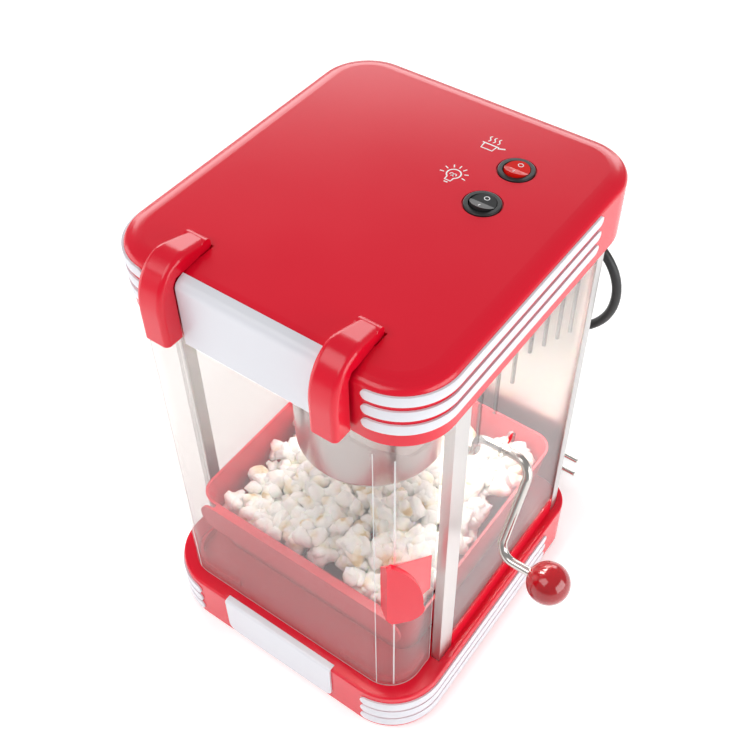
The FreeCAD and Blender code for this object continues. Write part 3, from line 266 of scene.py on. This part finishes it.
red_plastic = moulded("red_plastic", (0.73, 0.002, 0.022, 1.0), 0.2, 0.95)
red_inside = moulded("red_tray_plastic", (0.66, 0.012, 0.03, 1.0), 0.34, 0.9)
white_plastic = moulded("white_plastic", (0.71, 0.715, 0.765, 1.0), 0.3, 0.97)
black_plastic = moulded("black_plastic", (0.018, 0.019, 0.02, 1.0), 0.36, 0.8)
grey_plastic = moulded("grey_plastic", (0.35, 0.35, 0.36, 1.0), 0.5)
knob_plastic = moulded("knob_plastic", (0.40, 0.006, 0.012, 1.0), 0.12, 0.85, 0.5)
lit_red = moulded("red_rocker_plastic", (0.78, 0.008, 0.004, 1.0), 0.2, 0.8)
rubber = moulded("rubber", (0.02, 0.02, 0.02, 1.0), 0.7)
window_plastic = clear_sheet("window_plastic", (0.89, 0.875, 0.868, 1.0), 0.03, 0.4)
door_plastic = clear_sheet("door_plastic", (0.90, 0.888, 0.882, 1.0), 0.02, 0.34)
# Darker, less clear sheet on the walls of the windows' holes: painted shade.
hole_shade_plastic = clear_sheet("hole_wall_painted_shade", (0.62, 0.61, 0.61, 1.0), 0.12, 0.7)
# Paler, more opaque sheet for bright bands on the door: painted highlight.
door_highlight_plastic = clear_sheet("door_painted_highlight", (0.92, 0.92, 0.92, 1.0), 0.5, 0.9)
post_steel = brushed("brushed_steel", (0.70, 0.68, 0.67, 1.0), 0.3, "z")
plate_steel = brushed("ceiling_steel", (0.6, 0.6, 0.6, 1.0), 0.4, "y")
kettle_steel = polished("kettle_steel", (0.62, 0.59, 0.575, 1.0), 0.2)
rod_steel = polished("rod_steel", (0.66, 0.63, 0.60, 1.0), 0.17)
pin_metal = polished("pin_metal", (0.72, 0.7, 0.66, 1.0), 0.2)
bulb_glass = moulded("bulb_glass", (0.85, 0.82, 0.72, 1.0), 0.15)

finishes = [
    (red_plastic, "base window_rails door_rim top_housing door_arm_right door_arm_left door_handle"),
    (red_inside, "popcorn_tray"),
    (lit_red, "rocker_popping"),
    (knob_plastic, "crank_knob"),
    (white_plastic, "base_ribs_right base_ribs_left base_front_panel housing_ribs_right "
                    "housing_ribs_left housing_front_panel"),
    (black_plastic, "base_cover kettle_bushes switch_body_popping switch_body_light rocker_light "
                    "strain_relief cord_tie plug_body"),
    (grey_plastic, "top_frame lamp_holder terminal_block"),
    (rubber, "feet"),
    (window_plastic, "window_right window_left"),
    (door_plastic, "door_shell"),
    (post_steel, "front_post_right front_post_left back_panel"),
    (plate_steel, "ceiling_plate kettle_hanger"),
    (kettle_steel, "kettle_pot kettle_base kettle_bridge lid_rear lid_front"),
    (rod_steel, "base_screws ceiling_screws kettle_heater stirrer_motor stirrer lid_pins "
                "trunnion_left trunnion_right crank_lever crank_rod door_screws door_hinge_pins"),
    (bulb_glass, "lamp_bulb"),
    (pin_metal, "plug_pins"),
]
for finish, names in finishes:
    for node in names.split():
        mesh = nodes[node].data
        mesh.materials.clear()
        mesh.materials.append(finish)


# ---------------------------------------------------------------- making surfaces

def add_piece(name, verts, faces, finish, body, smooth=True, mend=True):
    """New mesh piece from points in millimetres, riding on a body."""
    mesh = bpy.data.meshes.new(name)
    mesh.from_pydata((np.asarray(verts) * MM).tolist(), [], faces)
    mesh.materials.append(finish)
    if mend:
        shell = bmesh.new()
        shell.from_mesh(mesh)
        bmesh.ops.remove_doubles(shell, verts=shell.verts, dist=1e-6)
        bmesh.ops.recalc_face_normals(shell, faces=shell.faces)
        shell.to_mesh(mesh)
        shell.free()
    mesh.polygons.foreach_set("use_smooth", [smooth] * len(mesh.polygons))
    piece = bpy.data.objects.new(name, mesh)
    bpy.context.scene.collection.objects.link(piece)
    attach(piece, body)
    return piece


def grid_faces(rows, columns, around):
    """Quads of a grid, joined into a loop across its columns when around is set."""
    last = columns if around else columns - 1
    i, j = np.meshgrid(np.arange(rows - 1), np.arange(last), indexing="ij")
    k = (j + 1) % columns
    quads = np.stack([i * columns + j, i * columns + k, (i + 1) * columns + k, (i + 1) * columns + j], -1)
    return quads.reshape(-1, 4).tolist()


def skin(name, rings, finish, body, around=True, smooth=True):
    """Open surface through rings, an array of (rings, points, xyz)."""
    rings = np.asarray(rings, float)
    rows, columns = rings.shape[:2]
    add_piece(name, rings.reshape(-1, 3), grid_faces(rows, columns, around), finish, body, smooth)


# ---------------------------------------------------------------- mains lead

def coil_route(centre, inner, outer, low, high, turns, per_turn):
    """Coil from angle 0 that steps in, climbs and steps out, each over part of a lap.

    At lap s its radius is outer + (inner - outer) * (in(s) - out(s)), where in and out rise
    from 0 to 1, and its height goes from low to high in the same way.
    """
    angle = np.linspace(0.0, 2 * math.pi * turns, int(turns * per_turn) + 1)[1:-1]
    lap = angle / (2 * math.pi)
    part = 0.3
    step_in = np.clip((lap - 0.85) / part, 0, 1)
    climb = np.clip((lap - 1.7) / part, 0, 1)
    step_out = np.clip((lap - 2.6) / part, 0, 1)
    radius = outer + (inner - outer) * step_in + (outer - inner) * step_out
    return np.stack([centre[0] + radius * np.cos(angle), centre[1] + radius * np.sin(angle),
                     low + (high - low) * climb], -1)


lead = [(0.042, 0.1185, 0.313), (0.084, 0.1185, 0.313), (0.1163, 0.1185, 0.284), (0.1163, 0.1195, 0.241),
        (0.086, 0.121, 0.210), (0.044, 0.123, 0.206), (0.015, 0.126, 0.178), (0.013, 0.130, 0.138),
        (0.014, 0.137, 0.101), (0.014, 0.1435, 0.065), (0.014, 0.1505, 0.031), (0.014, 0.1725, 0.0036),
        (0.014, 0.200, 0.0036)]
tail = [(-0.026, 0.165, 0.0104), (-0.009, 0.1646, 0.0104), (0.009, 0.154, 0.0112), (0.030, 0.1515, 0.017),
        (0.046, 0.1515, 0.0185)]
turns = coil_route((-0.028, 0.207), 0.0352, 0.042, 0.0036, 0.0104, 3.75, 16)
route = lead + [tuple(p) for p in turns] + tail

flex_curve = bpy.data.curves.new("mains_lead", "CURVE")
flex_curve.dimensions = "3D"
spline = flex_curve.splines.new("NURBS")
spline.points.add(len(route) - 1)
for point, place in zip(spline.points, route):
    point.co = (*place, 1.0)
spline.order_u = 3
spline.use_endpoint_u = True
spline.resolution_u = 8
flex_curve.bevel_depth = 0.0034
flex_curve.bevel_resolution = 5
flex_curve.use_fill_caps = True
cord_skin = moulded("cord_rubber", (0.016, 0.016, 0.017, 1.0), 0.42, 0.8)
flex_curve.materials.append(cord_skin)
flex = bpy.data.objects.new("mains_lead", flex_curve)
bpy.context.scene.collection.objects.link(flex)
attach(flex, "cabinet")
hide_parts("power_cord", "cord_coil", "cord_tail")


# ---------------------------------------------------------------- popcorn

def popcorn_flakes(kinds, rows, columns, seed):
    """Shapes of popped corn: a small core that swells into several round lobes.

    Along a direction d the radius is core + (1 - core) * max(reach * exp(width * (d.lobe - 1))).
    """
    rng = np.random.default_rng(seed)
    core, lobe_count, pitting = 0.36, 7, 0.02
    polar = np.linspace(0.0, math.pi, rows)
    turn = np.linspace(0.0, 2 * math.pi, columns, endpoint=False)
    p, t = np.meshgrid(polar, turn, indexing="ij")
    ways = np.stack([np.sin(p) * np.cos(t), np.sin(p) * np.sin(t), np.cos(p)], -1).reshape(-1, 3)
    shapes = []
    for _ in range(kinds):
        lobes = rng.normal(size=(lobe_count, 3))
        lobes /= np.linalg.norm(lobes, axis=1)[:, None]
        reach = rng.uniform(0.5, 1.0, lobe_count)
        width = rng.uniform(4.0, 8.0, lobe_count)
        bulge = reach * np.exp(width * (ways @ lobes.T - 1.0))
        radius = core + (1.0 - core) * bulge.max(1) + rng.normal(0, pitting, len(ways))
        shapes.append((ways * radius[:, None], (radius - core) / (1.0 - core)))
    return shapes


def heap_height(x, y):
    """Top of the popcorn: level at the rim, with a mound in front of the kettle and one beside it.

    Each mound is height * exp(-((x - x0) / width)^2 - ((y - y0) / depth)^2), in millimetres.
    """
    level = 93.0
    mound = 20.0 * np.exp(-((x - 28.0) / 58.0) ** 2 - ((y + 42.0) / 52.0) ** 2)
    side = 7.0 * np.exp(-((x - 80.0) / 30.0) ** 2 - (y / 60.0) ** 2)
    ripple = 2.5 * np.sin(x / 17.0) * np.cos(y / 21.0)
    return level + mound + side + ripple


def popcorn_heap(name, count, seed, lift, low, high):
    """Flakes thrown over the heap's surface, each turned by a random unit quaternion."""
    rows, columns = 8, 11
    kinds = 12
    shapes = popcorn_flakes(kinds, rows, columns, seed)
    rng = np.random.default_rng(seed + 1)
    faces = np.array(grid_faces(rows, columns, True))
    verts, quads, shade = [], [], []
    x = rng.uniform(low[0], high[0], count)
    y = rng.uniform(low[1], high[1], count)
    z = heap_height(x, y) + lift + rng.normal(0, 1.6, count)
    size = rng.uniform(10.5, 15.0, count)
    turns = rng.normal(size=(count, 4))
    turns /= np.linalg.norm(turns, axis=1)[:, None]
    for i in range(count):
        shape, crown = shapes[i % len(shapes)]
        w, a, b, c = turns[i]
        spin = np.array([[1 - 2 * (b * b + c * c), 2 * (a * b - c * w), 2 * (a * c + b * w)],
                         [2 * (a * b + c * w), 1 - 2 * (a * a + c * c), 2 * (b * c - a * w)],
                         [2 * (a * c - b * w), 2 * (b * c + a * w), 1 - 2 * (a * a + b * b)]])
        verts.append(shape @ spin.T * size[i] + (x[i], y[i], z[i]))
        quads.append(faces + i * rows * columns)
        shade.append(np.clip(crown + rng.normal(0, 0.08), 0, 1))
    piece = add_piece(name, np.vstack(verts), np.vstack(quads).tolist(), popcorn_finish, "tray", mend=False)
    tint = piece.data.attributes.new("crown", "FLOAT", "POINT")
    tint.data.foreach_set("value", np.concatenate(shade))


def popcorn_material():
    """Popped corn: creamy lobes, buttery creases and now and then a brown hull."""
    f = Finish("popcorn", Roughness=0.75, Subsurface_Weight=0.15, Subsurface_Scale=0.002)
    crown = f.node("ShaderNodeAttribute", {"attribute_name": "crown"}, out=2)
    spots = f.noise(f.place(), 95.0, 2.0)
    butter = f.ramp(crown + spots * 0.5 - 0.2,
                    (0.0, (0.72, 0.52, 0.28, 1.0)), (0.08, (0.92, 0.81, 0.62, 1.0)),
                    (0.24, (0.97, 0.92, 0.83, 1.0)), (0.5, (0.98, 0.965, 0.93, 1.0)))
    f.feed(Base_Color=butter, Normal=f.bump(f.noise(f.place(), 420.0, 3.0), 0.6, 0.0015))
    return f.material


popcorn_finish = popcorn_material()
popcorn_heap("popcorn_under", count=330, seed=3, lift=-9.0, low=(-84, -94), high=(86, 80))
popcorn_heap("popcorn_top", count=420, seed=11, lift=0.0, low=(-86, -96), high=(88, 82))


# ---------------------------------------------------------------- prints and marks

def ribbon(path, width, closed=False):
    """Flat band of a width along a path: each point steps sideways by half the width."""
    path = np.asarray(path, float)
    if closed:
        along = np.roll(path, -1, 0) - np.roll(path, 1, 0)
    else:
        along = np.gradient(path, axis=0)
    along /= np.linalg.norm(along, axis=1)[:, None]
    side = np.stack([-along[:, 1], along[:, 0]], -1) * width / 2.0
    count = len(path)
    last = count if closed else count - 1
    faces = [[i, (i + 1) % count, (i + 1) % count + count, i + count] for i in range(last)]
    return np.vstack([path + side, path - side]), faces


def printed(name, bands, finish, body, lift):
    """Thin print made of ribbons, laid where lift puts each flat point."""
    verts, faces = [], []
    for points, quads in bands:
        base = sum(len(v) for v in verts)
        verts.append(points)
        faces += [[base + k for k in quad] for quad in quads]
    add_piece(name, lift(np.vstack(verts)), faces, finish, body, smooth=False, mend=False)


def arc(centre, radii, start, end, count=24):
    """Points along an ellipse's arc, angles in degrees."""
    t = np.radians(np.linspace(start, end, count))
    return np.stack([centre[0] + radii[0] * np.cos(t), centre[1] + radii[1] * np.sin(t)], -1)


def wave(x, low, high, sway):
    """Upright squiggle: x + sway * sin(2 pi t) while y goes from low to high."""
    t = np.linspace(0.0, 1.0, 16)
    return np.stack([x + sway * np.sin(2 * math.pi * t), low + (high - low) * t], -1)


def on_roof(flat):
    """Points of a print on the flat roof."""
    return np.column_stack([flat, np.full(len(flat), ROOF_TOP + PRINT_LIFT)])


def on_rocker(middle):
    """Points of a mark on a rocker's two sloping faces, tipped back about its pivot."""
    def lift(flat):
        tip = math.radians(ROCKER_TIP)
        y = flat[:, 1]
        z = ROCKER_DIP + ROCKER_RISE * np.abs(y) / ROCKER_HALF - ROCKER_PIVOT + PRINT_LIFT
        return np.column_stack([flat[:, 0] + ROCKER_X, middle + y * math.cos(tip) - z * math.sin(tip),
                                ROCKER_PIVOT + y * math.sin(tip) + z * math.cos(tip)])
    return lift


print_white = moulded("print_white", (0.93, 0.93, 0.93, 1.0), 0.45, 0.98)
pan = [
    ribbon([(22.5, 81.0), (22.9, 76.0), (31.1, 76.0), (31.5, 81.0)], 0.9),
    ribbon([(21.0, 81.4), (33.0, 81.4)], 1.0),
    ribbon([(32.8, 80.2), (37.4, 82.2)], 1.2),
] + [ribbon(wave(x, 83.8, 89.6, 0.8), 0.8) for x in (23.6, 27.0, 30.4)]
printed("pan_print", pan, print_white, "cabinet", on_roof)
bulb_centre = np.array([24.0, 42.5])
bulb = [
    ribbon(arc(bulb_centre, (4.6, 4.6), -58.0, 238.0, 36), 0.9),
    ribbon([(21.6, 38.6), (21.9, 35.2), (26.1, 35.2), (26.4, 38.6)], 0.9),
    ribbon([(22.6, 33.2), (25.4, 33.2)], 0.9),
    ribbon(arc((22.9, 41.6), (1.1, 1.3), -90.0, 200.0, 16), 0.6),
    ribbon(arc((25.1, 41.6), (1.1, 1.3), -20.0, 270.0, 16), 0.6),
]
for degrees in (-10.0, 25.0, 60.0, 90.0, 120.0, 155.0, 190.0):
    ray = np.array([math.cos(math.radians(degrees)), math.sin(math.radians(degrees))])
    bulb.append(ribbon([bulb_centre + ray * 6.6, bulb_centre + ray * 9.4], 0.8))
printed("bulb_print", bulb, print_white, "cabinet", on_roof)
for switch, middle in (("popping", 68.0), ("light", 28.0)):
    marks = [ribbon(arc((0.0, 4.6), (1.7, 1.4), 0.0, 345.0, 24), 0.5, closed=True),
             ribbon([(0.0, -6.0), (0.0, -4.6), (0.0, -3.2)], 0.6)]
    printed("marks_" + switch, marks, print_white, "rocker_" + switch, on_rocker(middle))


# ---------------------------------------------------------------- clear parts: painted shade on the walls of cut holes, painted highlight bands on the door

def wall_strip(name, loop, x0, x1, body):
    """Wall of a hole cut through a side window, along a closed loop of (y, z) points, darkened as painted
    shade.
    """
    loop = np.asarray(loop, float)
    rings = np.stack([np.column_stack([np.full(len(loop), x), loop]) for x in (x0, x1)])
    skin(name, rings, hole_shade_plastic, body, smooth=False)


def slot_loop(y, low, high, half):
    """Corners of an upright slot, set just inside its cut."""
    return [(y - half, low), (y + half, low), (y + half, high), (y - half, high)]


for side in (1.0, -1.0):
    for k in range(SLOT_COUNT):
        from_middle = k - SLOT_COUNT // 2
        y = SLOT_MIDDLE + from_middle * SLOT_PITCH
        low = SLOT_LOW - SLOT_STEP * abs(from_middle)
        wall_strip("slot_edge_%s_%d" % ("right" if side > 0 else "left", k),
                   slot_loop(y, low, SLOT_TOP, SLOT_HALF), side * 109.55, side * 111.65, "cabinet")
turn = np.linspace(0.0, 2 * math.pi, 48, endpoint=False)
ring = np.stack([np.cos(turn), np.sin(turn)], -1) * CRANK_HOLE_RADIUS + CRANK_HOLE
wall_strip("crank_hole_edge", ring, 109.5, 111.7, "cabinet")


def door_corner_point(degrees):
    """Plan point just outside the door's right corner, in the direction of an angle."""
    radius = DOOR_CORNER + DOOR_SKIN
    turn = np.radians(degrees)
    return DOOR_HALF - DOOR_CORNER + radius * np.cos(turn), DOOR_CORNER_Y + radius * np.sin(turn)


def door_outline():
    """Plan just outside the door's outer face, from its left return to its right one."""
    right = np.stack(door_corner_point(np.linspace(-90.0, 0.0, 14)), -1)
    left = right[::-1] * (-1.0, 1.0)
    ends = np.array([[-DOOR_HALF - DOOR_SKIN, DOOR_END]])
    return np.vstack([ends, left, right, ends * (-1.0, 1.0)])


def door_band(name, low, high):
    """Thin band round the door's outer face between two heights, its brightness a painted highlight."""
    plan = door_outline()
    rings = np.stack([np.column_stack([plan, np.full(len(plan), z)]) for z in (low, high)])
    skin(name, rings, door_highlight_plastic, "door", around=False)


def upright_strip(name, x0, y0, x1, y1, low, high):
    """Thin upright band on the door between two plan points, its brightness a painted highlight."""
    rings = np.array([[(x0, y0, low), (x1, y1, low)], [(x0, y0, high), (x1, y1, high)]])
    skin(name, rings, door_highlight_plastic, "door", around=False)


# Painted highlights along the door's foot, its rear edges and across its rounded corners.
door_band("door_foot_highlight", 47.2, 48.3)
for side in (1.0, -1.0):
    tag = "right" if side > 0 else "left"
    upright_strip("door_rear_edge_" + tag, side * 105.81, -90.6, side * 105.81, -91.3, 48.0, 317.5)
    upright_strip("door_corner_line_" + tag, side * 85.6, -131.05, side * 86.4, -131.05, 50.0, 323.0)
    x, y = door_corner_point(-50.0)
    u, v = door_corner_point(-47.5)
    upright_strip("door_corner_edge_" + tag, side * x, y, side * u, v, 50.0, 318.0)


# ---------------------------------------------------------------- softened copies

def softened(node, body, width):
    """Copy of a designed piece with its edges rounded."""
    piece = bpy.data.objects.new(node + "_soft", nodes[node].data.copy())
    bpy.context.scene.collection.objects.link(piece)
    tidy = bmesh.new()
    tidy.from_mesh(piece.data)
    bmesh.ops.remove_doubles(tidy, verts=tidy.verts, dist=1e-6)
    tidy.to_mesh(piece.data)
    tidy.free()
    bevel = piece.modifiers.new("round", "BEVEL")
    bevel.width = width * MM
    bevel.segments = 3
    bevel.limit_method = "ANGLE"
    bevel.angle_limit = math.radians(35.0)
    bevel.harden_normals = True
    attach(piece, body)
    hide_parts(node)


for node in ("housing_ribs_right", "housing_ribs_left", "base_ribs_right", "base_ribs_left"):
    softened(node, "cabinet", 1.0)
softened("base_front_panel", "cabinet", 0.5)
softened("door_handle", "door", 0.9)


# ---------------------------------------------------------------- floor and finish

def floor_sheet():
    """Plain pale floor."""
    mesh = bpy.data.meshes.new("floor")
    half, z = 4.0, -0.0002
    corners = [(-half, -half, z), (half, -half, z), (half, half, z), (-half, half, z)]
    mesh.from_pydata(corners, [], [(0, 1, 2, 3)])
    f = Finish("floor", Base_Color=(0.82, 0.82, 0.82, 1.0), Roughness=0.9,
               Emission_Color=(1.0, 1.0, 1.0, 1.0), Emission_Strength=0.4)
    mesh.materials.append(f.material)
    floor = bpy.data.objects.new("floor", mesh)
    bpy.context.scene.collection.objects.link(floor)


floor_sheet()
